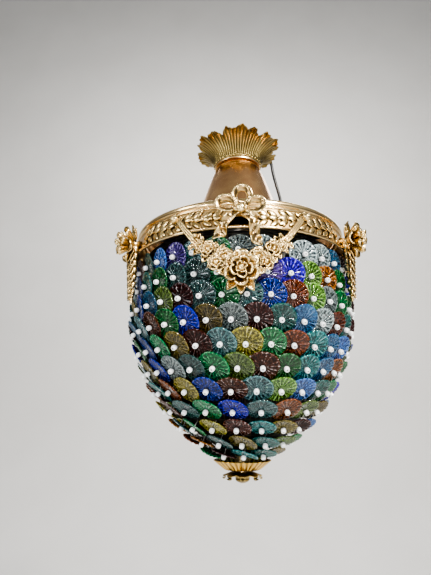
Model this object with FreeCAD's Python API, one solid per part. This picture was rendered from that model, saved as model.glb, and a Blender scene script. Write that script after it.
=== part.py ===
import FreeCAD, Part
import math
import os
from FreeCAD import Rotation, Vector

# Hanging electric lamp with a basket of pressed-glass discs. Millimetres, +Z up.
# The origin is the centre of the hanging eye's hole, so all heights below it are negative.
# Azimuth 0 is the front, towards -Y, and grows towards +X.

AXIS = Vector(0, 0, 1)
CENTRE = Vector(0, 0, 0)
THIRDS = (0, 120, 240)
SIXTHS = (60, 180, 300)
RUN_FIT = 0.06      # radial clearance of parts that turn or slide on each other
PLAIN_FIT = 0.05    # radial clearance of parts that stay put

# Glass basket: an egg-shaped surface that the beads lie on.
GIRTH_R = 145.0
GIRTH_Z = -290.0
EGG_DEPTH = 180.0
TOP_ROW_Z = -238.0
ROW_PITCH = 25.6
ROW_COUNTS = (34, 34, 36, 34, 32, 30, 26, 20, 18, 14, 10)
ROW_PHASES = (-1.0, 0.7, 2.3, 6.3, 12.8, 9.8, 7.6, -6.0, -4.6, 0.0, -33.0)

# Pressed-glass discs, the beads in front of them and the wires behind them.
DISC_R = 17.0
DISC_R_LOW = 15.5
DISC_T = 2.0
DISC_HOLE_R = 1.0
DISC_SET = 4.0
DISC_TILT = 17.0
SHINGLE = 8.5
SHINGLE_LOW = 12.5
LOW_ROWS = 3
BEAD_R = 3.0
PIN_R = 0.6
PIN_BACK = 8.2

# One letter is one disc, and a dot is a missing one. A row starts at its phase, at the front,
# and goes round towards +X.
ROW_COLOURS = (
    "CC.CCbkNygCtgCgtgtagNypCtcgbksbptg",
    "gpNcagNgkaNCytCgNstkytkasNCsNtgssg",
    "sNacCggkcgtaNCgsaCbksyCbpCygsyNbcksg",
    "ktbCatvaktsgtNagNtbgtbabktkbskgNyC",
    "gatbbcNCykgtCcsCysbatgygNgNgyksy",
    "kgtbagtgbyNktgbvtCgkaNcCyNCsgc",
    "scbtgNCgCcbsktNaCakavtayNk",
    "NsacybasNCkgksctyksg",
    "vtykbpvctNybCyasgy",
    "ytcgybaCNakaas",
    "vttyactpCg",
)
COLOUR_NODES = {
    "p": "glass_purple", "N": "glass_cobalt", "b": "glass_sky", "t": "glass_teal",
    "s": "glass_slate", "g": "glass_green", "y": "glass_yellow", "a": "glass_amber",
    "k": "glass_brown", "v": "glass_amethyst", "C": "glass_clear", "c": "glass_lime",
}

# Wire-mesh liner and its cage, measured inwards from the bead surface.
LINER_SET = 12.8
LINER_T = 0.8
LINER_TOP_Z = -213.0
LINER_GORES = 8
LINER_SPLIT_Z = -352.0
LINER_SEAM = 0.4    # gap between the sheets of mesh
HOOP_R = 1.2
RIB_T = 2.0
RIB_COUNT = 8
RIB_SWEEP = 2.6
STEM_R = 5.0
FINIAL_BORE_R = 7.0     # takes the threaded bush
STEM_BORE_R = 3.6
STEM_TOP_Z = -40.0
STEM_END_Z = -482.0
CUP_FLOOR_Z = -471.0

# Rim and lid.
RIM_R = 136.0
RIM_Z = -183.0
RIM_SECTION_R = 4.7
BAND_TOP_Z = -188.0
BAND_FOOT_Z = -217.0
BAND_TOP_R = 138.6
BAND_FOOT_R = 145.4
BAND_T = 1.6
SHEET_T = 1.2
LID_FOOT_R = 130.8
LID_FOOT_Z = -181.5
NECK_R = 30.5
NECK_TOP_Z = -59.0
SPIDER_Z = -193.0
SCREW_R = 1.5

# Crown cup.
CROWN_LOBES = 6
CROWN_PHASE = 5.0
CROWN_RIM_R = 57.5
CROWN_T = 1.5
CROWN_HOLE_R = 10.5
NECK_BEADS = 36

# Ornaments.
BOW_REACH = 146.8
BOW_WIRE_R = 2.6
BOW_LOOPS = ((-14.5, -190.5, 12, 9.5), (15, -193, -14, 9.5), (1.5, -181, 0, 10.0))
BOW_TAILS = ((Vector(-17, -150, -229), 8.5), (Vector(13, -151, -238), 9.5))
TAIL_T = 2.4
SWAG_REACH = 25.2
SWAG_ROSE_R = 18.0
SWAG_STEPS = 12
KNOB_SWING = 30
KNOB_Z = -198.0
ROSE_Z = -206.0
ROSE_DROOP = 0.12
ROSE_TIERS = ((20.5, 6.0, 158.5), (15.5, 7.0, 164.0), (9.0, 10.0, 170.0))
DROP_REACH = 150.6
DROP_LEAVES = ((-222, 9.0), (-232, 10.0), (-244, 8.5), (-255, 7.0), (-264, 5.2), (-271, 3.8), (-277, 2.8))

# Lamp holders and bulbs.
HOLDER_RING_R = 42.0
HOLDER_AZIMUTHS = (30, 150, 270)
PLATE_Z = -204.0
HOLDER_R = 14.0
HOLDER_LENGTH = 40.0
BASE_R = 7.0
BASE_LENGTH = 24.0

# Hanging eye and the housing that it turns in.
EYE_R = 6.0
EYE_RIM_R = 10.5
EYE_T = 5.0
SHANK_R = 3.5
SHANK_FOOT_Z = -35.0
HEAD_R = 6.0
HEAD_T = 3.0
HOUSING_R = 9.0
HOUSING_TOP_Z = -26.0
FLANGE_R = 13.0

# Flexible cord. It leaves its grip beside the stem, arches over the crown's edge and hangs down
# the back to its bare end.
FLEX_D = 4.8
FLEX_AZ = 123.0
GRIP_RING_R = 14.0
FLEX_ROUTE = [
    (11.7, 7.6, -40), (11.7, 7.6, -24), (19.7, 12.8, -10.7), (32.7, 21.2, -5.7), (45.7, 29.7, -10.7),
    (53.7, 34.9, -24), (55.5, 36.5, -42), (60, 38, -62), (66, 39.5, -87), (69, 44, -113), (67, 60, -138),
    (61, 84, -157), (54, 110, -166), (50, 131, -168.5), (50, 148, -176.5), (51, 157, -192),
    (52, 159, -211), (53, 158, -240), (51, 159, -278), (54, 158, -318), (52, 157, -358), (54, 159, -394),
    (52.5, 157, -424),
]
CORE_R = 0.9
CORE_SPREAD = 1.15
CORE_LENGTHS = (26.0, 22.0)


def at(azimuth, radius, z):
    a = math.radians(azimuth)
    return Vector(radius * math.sin(a), -radius * math.cos(a), z)


def turned(shape, azimuth):
    """A copy of a shape made at the front, turned to another azimuth."""
    copy = shape.copy()
    copy.rotate(CENTRE, AXIS, azimuth)
    return copy


def save(node, shapes):
    shape = shapes[0] if len(shapes) == 1 else Part.makeCompound(shapes)
    shape.exportStep("parts/" + node + ".step")
    volume = sum(s.Volume for s in shape.Solids)
    print(node, len(shape.Solids), "solids", round(volume), "mm3", "valid" if shape.isValid() else "BAD")


def outside_out(solid):
    """The solid with its faces looking outwards, whichever way its outline ran."""
    if solid.Volume < 0:
        solid.reverse()
    return solid


def spun(points):
    """Revolves a closed outline of (radius, z) corners about the lamp's axis."""
    corners = [Vector(r, 0, z) for r, z in points]
    face = Part.Face(Part.makePolygon(corners + corners[:1]))
    return outside_out(face.revolve(CENTRE, AXIS, 360))


def offset_line(points, distance):
    """The (radius, z) line moved sideways by a distance, to the right of its direction."""
    moved = []
    for i, (r, z) in enumerate(points):
        before, after = points[max(i - 1, 0)], points[min(i + 1, len(points) - 1)]
        dr, dz = after[0] - before[0], after[1] - before[1]
        size = math.hypot(dr, dz)
        moved.append((r + distance * dz / size, z - distance * dr / size))
    return moved


def smooth_edge(points):
    curve = Part.BSplineCurve()
    curve.interpolate([Vector(r, 0, z) for r, z in points])
    return curve.toShape()


def spun_shell(points, thickness, angle=360.0):
    """A thin shell whose first side is the smooth line through the points."""
    other = offset_line(points, thickness)
    edges = [
        smooth_edge(points),
        Part.makeLine(Vector(points[-1][0], 0, points[-1][1]), Vector(other[-1][0], 0, other[-1][1])),
        smooth_edge(other[::-1]),
        Part.makeLine(Vector(other[0][0], 0, other[0][1]), Vector(points[0][0], 0, points[0][1])),
    ]
    return outside_out(Part.Face(Part.Wire(edges)).revolve(CENTRE, AXIS, angle))


def tube(outer_r, inner_r, low_z, high_z):
    outer = Part.makeCylinder(outer_r, high_z - low_z, Vector(0, 0, low_z))
    inner = Part.makeCylinder(inner_r, high_z - low_z, Vector(0, 0, low_z))
    return outer.cut(inner)


def bun(radius, depth, centre, facing):
    """A flat button with a bevelled edge: radius across, depth thick, facing a direction."""
    half, waist = depth / 2, 0.72 * radius
    solid = spun([(0, -half), (waist, -half), (radius, 0), (waist, half), (0, half)])
    solid.rotate(CENTRE, *turn_to(facing))
    solid.translate(centre)
    return solid


def turn_to(direction):
    """The axis and the angle in degrees that turn +Z to a direction."""
    rotation = Rotation(AXIS, direction)
    return rotation.Axis, math.degrees(rotation.Angle)


def leaf(length, width, thickness):
    """A pointed leaf plate that stands on the origin, along +Z, with its face towards -Y."""
    tip, low = Vector(0, 0, length), Vector(0, 0, 0)
    right = Part.Arc(low, Vector(width / 2, 0, length * 0.45), tip).toShape()
    left = Part.Arc(tip, Vector(-width / 2, 0, length * 0.45), low).toShape()
    return Part.Face(Part.Wire([right, left])).extrude(Vector(0, -thickness, 0))


def joined(shapes):
    return shapes[0].multiFuse(shapes[1:]).removeSplitter()


# ---------------------------------------------------------------- glass basket


def egg_r(z):
    if z > GIRTH_Z:
        return GIRTH_R - 5.0 * ((z - GIRTH_Z) / 52.0) ** 1.3
    return GIRTH_R * (1 - ((GIRTH_Z - z) / EGG_DEPTH) ** 1.7) ** 0.62


def egg_normal(z):
    """The outward direction of the egg, as its radial part and its rise."""
    slope = egg_r(z + 0.5) - egg_r(z - 0.5)
    size = math.hypot(1.0, slope)
    return 1.0 / size, -slope / size


def row_heights():
    heights, z = [], TOP_ROW_Z
    for _ in ROW_COUNTS:
        heights.append(z)
        middle = z - ROW_PITCH / 2 * egg_normal(z)[0]
        z -= ROW_PITCH * egg_normal(middle)[0]
    return heights


def liner_line():
    """The liner's outer line, from its top edge to the stem sleeve."""
    points = [(egg_r(LINER_TOP_Z) - LINER_SET, LINER_TOP_Z)]
    for z in row_heights():
        out, rise = egg_normal(z)
        points.append((egg_r(z) - LINER_SET * out, z - LINER_SET * rise))
    return points + [(22.0, CUP_FLOOR_Z + 16.2), (12.0, CUP_FLOOR_Z + 14.4)]


def disc_seat(azimuth, z, shingle):
    """A disc's centre, and its across, up and outward directions."""
    out, rise = egg_normal(z)
    radial, across = at(azimuth, 1, 0), at(azimuth + 90, 1, 0)
    normal = radial * out + AXIS * rise
    up = AXIS * out - radial * rise
    centre = at(azimuth, egg_r(z), z) - normal * DISC_SET
    tilt, swing = math.radians(DISC_TILT), math.radians(shingle)
    up_tilted = up * math.cos(tilt) + normal * math.sin(tilt)
    face = normal * math.cos(tilt) - up * math.sin(tilt)
    outward = face * math.cos(swing) - across * math.sin(swing)
    sideways = across * math.cos(swing) + face * math.sin(swing)
    return centre, sideways, up_tilted, outward


def disc_solid(radius):
    disc = Part.makeCylinder(radius, DISC_T, Vector(0, 0, -DISC_T / 2))
    return disc.cut(Part.makeCylinder(DISC_HOLE_R, DISC_T, Vector(0, 0, -DISC_T / 2)))


def discs_beads_and_pins():
    discs = {node: [] for node in COLOUR_NODES.values()}
    beads, pins = [], []
    rows = zip(row_heights(), ROW_COUNTS, ROW_PHASES, ROW_COLOURS)
    for index, (z, count, phase, colours) in enumerate(rows):
        low = index >= len(ROW_COUNTS) - LOW_ROWS
        pattern = disc_solid(DISC_R_LOW if low else DISC_R)
        for k in range(count):
            if colours[k] == ".":
                continue
            azimuth = phase + 360.0 * k / count
            seat = disc_seat(azimuth, z, SHINGLE_LOW if low else SHINGLE)
            centre, sideways, up_tilted, outward = seat
            disc = pattern.copy()
            disc.Placement = FreeCAD.Placement(centre, Rotation(sideways, up_tilted, outward, "ZXY"))
            discs[COLOUR_NODES[colours[k]]].append(disc)
            beads.append(Part.makeSphere(BEAD_R, centre + outward * (DISC_T / 2 + BEAD_R)))
            length = PIN_BACK + DISC_T / 2
            pins.append(Part.makeCylinder(PIN_R, length, centre - outward * PIN_BACK, outward))
    return discs, beads, pins


def liner_sheets(line):
    """The liner as gores of mesh in two tiers, with a narrow seam all round each sheet."""
    gore = spun_shell(line, LINER_T, 360.0 / LINER_GORES)
    seam = Part.makeBox(2 * GIRTH_R, LINER_SEAM, 400, Vector(0, -LINER_SEAM / 2, STEM_END_Z))
    waist = Part.makeCylinder(GIRTH_R, LINER_SEAM, Vector(0, 0, LINER_SPLIT_Z))
    cut = gore.cut(seam).cut(turned(seam, 360.0 / LINER_GORES)).cut(waist)
    return [turned(sheet, 360.0 * k / LINER_GORES) for k in range(LINER_GORES) for sheet in cut.Solids]


def basket_parts():
    line = liner_line()
    hoops, inner = [], offset_line(line, LINER_T + HOOP_R + 0.1)
    for r, z in inner[1:-2]:
        hoops.append(Part.makeTorus(r, HOOP_R, Vector(0, 0, z)))
    rib_line = offset_line(line, LINER_T + 2 * HOOP_R + 0.5)[:-1]
    rib = spun_shell(rib_line, RIB_T, RIB_SWEEP)
    ribs = [turned(rib, 360.0 * k / RIB_COUNT) for k in range(RIB_COUNT)]
    top_r = line[0][0]
    ring = spun([
        (top_r - 8.0, LINER_TOP_Z + 0.6), (top_r + 3.0, LINER_TOP_Z + 0.6),
        (top_r + 3.0, LINER_TOP_Z + 3.6), (top_r - 8.0, LINER_TOP_Z + 3.6),
    ])
    return liner_sheets(line), hoops, ribs, ring


def bottom_parts():
    """The ribbed cup under the liner, the spacer above it, the rosette and the finial nut with its bush."""
    cup = spun([
        (STEM_R + RUN_FIT, CUP_FLOOR_Z - 2.0), (21.0, CUP_FLOOR_Z - 2.0), (35.0, CUP_FLOOR_Z + 7.5),
        (34.4, CUP_FLOOR_Z + 9.0), (20.4, CUP_FLOOR_Z), (STEM_R + RUN_FIT, CUP_FLOOR_Z),
    ])
    spacer = tube(9.0, STEM_R + RUN_FIT, CUP_FLOOR_Z + 0.02, CUP_FLOOR_Z + 13.5)
    rosette = spun([
        (STEM_R + RUN_FIT, CUP_FLOOR_Z - 4.0), (17.0, CUP_FLOOR_Z - 4.0), (24.0, CUP_FLOOR_Z - 8.5),
        (22.8, CUP_FLOOR_Z - 10.0), (16.0, CUP_FLOOR_Z - 5.8), (STEM_R + RUN_FIT, CUP_FLOOR_Z - 5.8),
    ])
    for k in range(8):
        notch = at(22.5 + 45 * k, 26.5, CUP_FLOOR_Z - 12)
        rosette = rosette.cut(Part.makeCylinder(5.0, 10, notch))
    collar = tube(10.0, STEM_R + RUN_FIT, CUP_FLOOR_Z - 3.95, CUP_FLOOR_Z - 2.05)
    top_z, hole_z = CUP_FLOOR_Z - 6.1, STEM_END_Z - 0.6
    nut = spun([
        (FINIAL_BORE_R, top_z), (10.0, top_z), (10.0, top_z - 4), (8.4, top_z - 6.5), (8.4, top_z - 8),
        (5.5, top_z - 10.2), (0, top_z - 11.5), (0, hole_z), (FINIAL_BORE_R, hole_z),
    ])
    bush = tube(FINIAL_BORE_R - 0.02, STEM_R + RUN_FIT, hole_z + 0.02, top_z)
    return cup, spacer, rosette, collar, nut, bush


# ------------------------------------------------------------------ brass frame


def lid_line():
    return [
        (LID_FOOT_R, LID_FOOT_Z), (116, -178.2), (98, -173), (82, -166), (69, -157),
        (60.5, -145.5), (54.5, -129), (47.5, -107), (39, -81), (NECK_R, NECK_TOP_Z),
    ]


def band_r(z):
    return BAND_FOOT_R + (BAND_TOP_R - BAND_FOOT_R) * (z - BAND_FOOT_Z) / (BAND_TOP_Z - BAND_FOOT_Z)


ORNAMENT_SCREWS = (
    [(azimuth, KNOB_Z + 1) for azimuth in THIRDS]
    + [(azimuth, ROSE_Z) for azimuth in SIXTHS]
    + [(azimuth + side, KNOB_Z) for azimuth in THIRDS for side in (-KNOB_SWING, KNOB_SWING)]
)


def laurel_band():
    """The conical band, with a window under each bow and holes for the ornaments' screws."""
    band = spun([
        (BAND_TOP_R, BAND_TOP_Z), (BAND_FOOT_R, BAND_FOOT_Z),
        (BAND_FOOT_R - BAND_T, BAND_FOOT_Z), (BAND_TOP_R - BAND_T, BAND_TOP_Z),
    ])
    corners = [Vector(-14, 0, -213.5), Vector(14, 0, -213.5), Vector(7, 0, -202), Vector(-7, 0, -202)]
    window = Part.Face(Part.makePolygon(corners + corners[:1])).extrude(Vector(0, -200, 0))
    for azimuth in THIRDS:
        band = band.cut(turned(window, azimuth))
    for azimuth, z in ORNAMENT_SCREWS:
        drill = Part.makeCylinder(SCREW_R + PLAIN_FIT, 30, at(azimuth, 125, z), at(azimuth, 1, 0))
        band = band.cut(drill)
    return band


def ornament_screws():
    screws = []
    for azimuth, z in ORNAMENT_SCREWS:
        out, face = at(azimuth, 1, 0), band_r(z)
        shank = Part.makeCylinder(SCREW_R, 6.5, at(azimuth, face - 5.0, z), out)
        head = Part.makeCylinder(3.0, 2.2, at(azimuth, face - 5.2, z), out)
        screws.append(shank.fuse(head))
    return screws


def spider():
    """Three flat arms that hold the band on the stem."""
    hub = Part.makeCylinder(16, 5, Vector(0, 0, SPIDER_Z))
    arm = Part.makeBox(12, 131, 3, Vector(-6, -134.5, SPIDER_Z))
    lug = Part.makeBox(12, 3, 8, Vector(-6, -136.2, SPIDER_Z - 3))
    arms = [turned(piece, azimuth) for azimuth in SIXTHS for piece in (arm, lug)]
    body = joined([hub] + arms)
    return body.cut(Part.makeCylinder(STEM_R + PLAIN_FIT, 20, Vector(0, 0, SPIDER_Z - 5)))


def stem():
    body = tube(STEM_R, STEM_BORE_R, STEM_END_Z, STEM_TOP_Z)
    side_hole = Part.makeCylinder(2.6, 12, Vector(0, 0, -199), at(90, 1, 0))
    return body.cut(side_hole)


def neck_plate():
    """The plate that closes the neck and carries the crown and the cord grip."""
    edge_r, low_z, top_z = NECK_R + 3.0, NECK_TOP_Z + 0.1, NECK_TOP_Z + 2.0
    hole_r = STEM_R + PLAIN_FIT
    plate = spun([(hole_r, low_z), (edge_r, low_z), (edge_r, top_z), (hole_r, top_z)])
    return plate.cut(Part.makeCylinder(FLEX_D / 2 + 0.3, 10, at(FLEX_AZ, GRIP_RING_R, NECK_TOP_Z - 4)))


def bead_ring():
    where = NECK_R + 3.1, NECK_TOP_Z + 4.2
    return [Part.makeSphere(2.1, at(360.0 * k / NECK_BEADS, *where)) for k in range(NECK_BEADS)]


def crown_floor_z():
    return NECK_TOP_Z + 2.1


def crown_outer():
    z = crown_floor_z()
    return [(30.0, z + 0.2), (31.2, z + 4), (34.0, z + 9.5), (38.8, z + 16), (45.0, z + 22),
            (52.0, z + 26.5), (CROWN_RIM_R, z + 28.6), (CROWN_RIM_R + 5.0, z + 29.2)]


def crown():
    """A leafy cup whose edge is cut into lobes, with small notches in each lobe."""
    shell = spun_shell(crown_outer(), -CROWN_T)
    z = crown_floor_z()
    floor = spun([(CROWN_HOLE_R, z), (30.1, z), (30.1, z + 1.6), (CROWN_HOLE_R, z + 1.6)])
    cup = shell.fuse(floor)
    step = 360.0 / CROWN_LOBES
    for k in range(CROWN_LOBES):
        gap = CROWN_PHASE + step * (k + 0.5)
        cup = cup.cut(Part.makeCone(1.0, 8.5, 34, at(gap, 42, z + 27), at(gap, 1, 0.12)))
        for side in (-14, 0, 14):
            nick = at(CROWN_PHASE + step * k + side, CROWN_RIM_R + 5.5, z + 20)
            cup = cup.cut(Part.makeCylinder(2.6 if side else 1.6, 30, nick))
    cup = cup.cut(Part.makeCylinder(6.0, 60, at(FLEX_AZ, 66, z)))
    return cup.cut(Part.makeCylinder(4.5, 10, at(FLEX_AZ, GRIP_RING_R, z - 4)))


# ------------------------------------------------------------------- ornaments


def bow():
    """Three ribbon loops, a knot and two tails, cast in one piece."""
    pieces = [bun(6.5, 9.0, Vector(0, -BOW_REACH - 0.7, -197), Vector(0, -1, 0))]
    for x, z, lean, radius in BOW_LOOPS:
        ring = Part.makeTorus(radius, BOW_WIRE_R, CENTRE, Vector(0, 1, 0))
        ring.rotate(CENTRE, AXIS, lean)
        ring.translate(Vector(x, -BOW_REACH, z))
        pieces.append(ring)
    for foot, width in BOW_TAILS:
        top = Vector(0, -BOW_REACH - 1.2, -199)
        run = foot - top
        tail = Part.makeBox(width, TAIL_T, run.Length, Vector(-width / 2, -TAIL_T / 2, 0))
        tail.rotate(CENTRE, *turn_to(run))
        tail.translate(top)
        pieces.append(tail)
    return joined(pieces)


def swag():
    """A garland that hangs between two knobs, thickest at the rose in its middle."""
    out = at(0, 1, 0)
    pieces = [bun(SWAG_ROSE_R, 12.0, at(0, 156.5, -268), out), bun(9.5, 12.0, at(0, 162, -267), out)]
    for side in (-1, 1):
        for k in range(1, SWAG_STEPS + 1):
            t = k / SWAG_STEPS
            azimuth = side * SWAG_REACH * t
            here = at(azimuth, 154.5 - 7.0 * t ** 2, -266 + 65 * t ** 1.6)
            pieces.append(bun(13.0 - 7.0 * t, 8.5 - 3.5 * t, here, at(azimuth, 1, 0)))
    return joined(pieces)


def knob(azimuth):
    face = band_r(KNOB_Z)
    back = Part.makeCylinder(3.4, 4.5, at(azimuth, face + 1.6, KNOB_Z), at(azimuth, 1, 0))
    ball = Part.makeSphere(4.6, at(azimuth, face + 7.2, KNOB_Z))
    return back.fuse(ball)


def rose():
    """A standing rose: a foot on the band and three tiers of petals."""
    start = Vector(0, -band_r(ROSE_Z) - 1.6, ROSE_Z)
    tiers = [Part.makeCylinder(5, 14, start, Vector(0, -1, 0))]
    for radius, depth, reach in ROSE_TIERS:
        centre = Vector(0, -reach, ROSE_Z - ROSE_DROOP * (reach - 150))
        tiers.append(bun(radius, depth, centre, Vector(0, -1, -ROSE_DROOP)))
    return joined(tiers)


def upright_leaf():
    plate = leaf(26.0, 15.0, 2.0)
    plate.translate(Vector(0, -148.2, KNOB_Z))
    return plate


def leaf_drop():
    """A drop of leaves under the rose, narrowing to small balls."""
    pieces = []
    for z, radius in DROP_LEAVES:
        depth = min(5.0, radius * 1.6)
        pieces.append(bun(radius, depth, Vector(0, -DROP_REACH, z), Vector(0, -1, 0)))
    return joined(pieces)


# ------------------------------------------------------- light fitting and eye


def holder_plate():
    plate = Part.makeCylinder(60, 2.5, Vector(0, 0, PLATE_Z))
    plate = plate.cut(Part.makeCylinder(STEM_R + PLAIN_FIT, 10, Vector(0, 0, PLATE_Z - 4)))
    for azimuth in HOLDER_AZIMUTHS:
        plate = plate.cut(Part.makeCylinder(3.0, 10, at(azimuth, HOLDER_RING_R, PLATE_Z - 4)))
    return plate


def holder(azimuth):
    """A lampholder cup, open downwards, on a hollow nipple that passes the plate."""
    low_z = PLATE_Z - 0.05 - HOLDER_LENGTH
    where = at(azimuth, HOLDER_RING_R, 0)
    cup = Part.makeCylinder(HOLDER_R, HOLDER_LENGTH, where + Vector(0, 0, low_z))
    cup = cup.cut(Part.makeCylinder(BASE_R + RUN_FIT, BASE_LENGTH + 2, where + Vector(0, 0, low_z)))
    nipple = Part.makeCylinder(2.95, 8, where + Vector(0, 0, PLATE_Z - 0.05))
    bore = Part.makeCylinder(1.8, 60, where + Vector(0, 0, PLATE_Z - 20))
    return cup.fuse(nipple).cut(bore)


def bulb(azimuth):
    """A candle bulb as its glass envelope and its metal base."""
    where = at(azimuth, HOLDER_RING_R, 0)
    mouth_z = PLATE_Z - 0.05 - HOLDER_LENGTH
    line = [(8.0, mouth_z - 1.5), (12.5, mouth_z - 12), (16.5, mouth_z - 28), (16.8, mouth_z - 42),
            (13.5, mouth_z - 58), (8.0, mouth_z - 70), (3.0, mouth_z - 78)]
    edges = [
        smooth_edge(line),
        Part.makeLine(Vector(3.0, 0, mouth_z - 78), Vector(0, 0, mouth_z - 79)),
        Part.makeLine(Vector(0, 0, mouth_z - 79), Vector(0, 0, mouth_z - 1.5)),
        Part.makeLine(Vector(0, 0, mouth_z - 1.5), Vector(8.0, 0, mouth_z - 1.5)),
    ]
    envelope = outside_out(Part.Face(Part.Wire(edges)).revolve(CENTRE, AXIS, 360))
    base = spun([
        (0, mouth_z - 1.5), (7.0, mouth_z - 1.5), (BASE_R, mouth_z + 2), (BASE_R, mouth_z + BASE_LENGTH - 4),
        (3.0, mouth_z + BASE_LENGTH), (0, mouth_z + BASE_LENGTH),
    ])
    for solid in (envelope, base):
        solid.translate(where)
    return envelope, base


def inner_wires():
    """A lead from the stem's side hole to each holder's nipple, above the plate."""
    wires = []
    for azimuth in HOLDER_AZIMUTHS:
        start = at(azimuth, STEM_R + 0.8, PLATE_Z + 4.2)
        run = at(azimuth, HOLDER_RING_R, PLATE_Z + 4.2) - start
        level = Part.makeCylinder(1.4, run.Length - 4.6, start, run)
        wires.append(level)
    return wires


def hanging_loop():
    """The eye, its shank and the head that keeps it in the housing."""
    ring = Part.makeCylinder(EYE_RIM_R, EYE_T, Vector(0, EYE_T / 2, 0), Vector(0, -1, 0))
    shank = Part.makeCylinder(SHANK_R, -8.0 - SHANK_FOOT_Z, Vector(0, 0, SHANK_FOOT_Z))
    head = Part.makeCylinder(HEAD_R, HEAD_T, Vector(0, 0, SHANK_FOOT_Z - HEAD_T))
    body = joined([ring, shank, head])
    return body.cut(Part.makeCylinder(EYE_R, 2 * EYE_T, Vector(0, EYE_T, 0), Vector(0, -1, 0)))


def swivel_housing():
    """The long nut on the stem's top. Its flange holds the crown, and the loop's head turns in it."""
    foot_z = NECK_TOP_Z + 2.1
    flange_z = crown_floor_z() + 1.7
    body = Part.makeCylinder(HOUSING_R, HOUSING_TOP_Z - foot_z, Vector(0, 0, foot_z))
    body = body.fuse(Part.makeCylinder(FLANGE_R, 2.0, Vector(0, 0, flange_z)))
    body = body.cut(Part.makeCylinder(4.8, 8.0, at(FLEX_AZ, GRIP_RING_R, flange_z - 3)))
    body = body.cut(Part.makeCylinder(STEM_R + PLAIN_FIT, STEM_TOP_Z + 0.2 - foot_z, Vector(0, 0, foot_z)))
    room = Part.makeCylinder(HEAD_R + 0.3, HEAD_T + 2, Vector(0, 0, SHANK_FOOT_Z - HEAD_T - 1))
    return body.cut(room).cut(Part.makeCylinder(SHANK_R + RUN_FIT, 20.0, Vector(0, 0, SHANK_FOOT_Z - 1)))


def cord_grip():
    """A tapered sleeve that stands on the neck plate and holds the cord."""
    low_z, high_z = NECK_TOP_Z + 2.05, FLEX_ROUTE[0][2]
    foot = at(FLEX_AZ, GRIP_RING_R, low_z)
    outer = Part.makeCone(4.4, 3.3, high_z - low_z, foot)
    return outer.cut(Part.makeCylinder(FLEX_D / 2 + PLAIN_FIT, high_z - low_z, foot))


# ------------------------------------------------------------------------ flex


def cord_wire(route):
    """Straight runs joined by tangent arcs. Prints each arc's radius."""
    points = [Vector(*p) for p in route]
    edges, last, radii = [], points[0], []
    for i in range(1, len(points) - 1):
        back, ahead = points[i - 1] - points[i], points[i + 1] - points[i]
        turn = math.pi - back.getAngle(ahead)
        reach = 0.45 * min(back.Length, ahead.Length)
        radius = reach / math.tan(turn / 2)
        radii.append(round(radius, 1))
        enter = points[i] + back.normalize() * reach
        leave = points[i] + ahead.normalize() * reach
        middle_way = (back + ahead).normalize()
        sink = radius / math.cos(turn / 2) - radius
        middle = points[i] + middle_way * sink
        edges.append(Part.makeLine(last, enter))
        edges.append(Part.Arc(enter, middle, leave).toShape())
        last = leave
    edges.append(Part.makeLine(last, points[-1]))
    wire = Part.Wire(edges)
    print("cord radii", radii, "smallest", min(radii), "length", round(wire.Length, 1))
    return wire


def flex_cord():
    wire = cord_wire(FLEX_ROUTE)
    start = Vector(*FLEX_ROUTE[0])
    ahead = Vector(*FLEX_ROUTE[1]) - start
    section = Part.Wire([Part.makeCircle(FLEX_D / 2, start, ahead)])
    solid = wire.makePipeShell([section], True, True)
    print("cord volume share", round(solid.Volume / (math.pi * FLEX_D ** 2 / 4 * wire.Length), 4))
    return solid


def flex_cores():
    """The two bare cores at the cord's end."""
    end, before = Vector(*FLEX_ROUTE[-1]), Vector(*FLEX_ROUTE[-2])
    down = (end - before).normalize()
    cores = []
    for side, length in zip((-CORE_SPREAD, CORE_SPREAD), CORE_LENGTHS):
        cores.append(Part.makeCylinder(CORE_R, length, end + Vector(side, 0, -0.1), down))
    return cores


# ---------------------------------------------------------------------- output


def main():
    os.makedirs("parts", exist_ok=True)
    discs, beads, pins = discs_beads_and_pins()
    for node, solids in discs.items():
        save(node, solids)
    save("white_beads", beads)
    save("disc_pins", pins)
    liner, hoops, ribs, ring = basket_parts()
    save("basket_liner", liner)
    save("basket_hoops", hoops)
    save("basket_ribs", ribs)
    save("basket_ring", [ring])
    cup, spacer, rosette, collar, nut, bush = bottom_parts()
    save("bottom_cup", [cup])
    save("bottom_spacer", [spacer])
    save("bottom_collar", [collar])
    save("bottom_rosette", [rosette])
    save("finial_nut", [nut])
    save("finial_bush", [bush])
    save("lid", [spun_shell(lid_line(), -SHEET_T)])
    save("rim_moulding", [Part.makeTorus(RIM_R, RIM_SECTION_R, Vector(0, 0, RIM_Z))])
    save("laurel_band", [laurel_band()])
    save("ornament_screws", ornament_screws())
    save("frame_spider", [spider()])
    save("stem_tube", [stem()])
    save("neck_plate", [neck_plate()])
    save("crown_bead_ring", bead_ring())
    save("crown_cup", [crown()])
    save("ribbon_bows", [turned(bow(), azimuth) for azimuth in THIRDS])
    save("rose_swags", [turned(swag(), azimuth) for azimuth in THIRDS])
    save("swag_knobs", [knob(azimuth + side) for azimuth in THIRDS for side in (-30, 30)])
    save("standing_roses", [turned(rose(), azimuth) for azimuth in SIXTHS])
    save("upright_leaves", [turned(upright_leaf(), azimuth) for azimuth in SIXTHS])
    save("leaf_drops", [turned(leaf_drop(), azimuth) for azimuth in SIXTHS])
    save("holder_plate", [holder_plate()])
    for number, azimuth in enumerate(HOLDER_AZIMUTHS, 1):
        save("lampholder_%d" % number, [holder(azimuth)])
        envelope, base = bulb(azimuth)
        save("bulb_glass_%d" % number, [envelope])
        save("bulb_base_%d" % number, [base])
    save("inner_wires", inner_wires())
    save("hanging_loop", [hanging_loop()])
    save("swivel_housing", [swivel_housing()])
    save("cord_grip", [cord_grip()])
    save("flex_cord", [flex_cord()])
    save("flex_cores", flex_cores())


main()
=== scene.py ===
import math
import random

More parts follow.
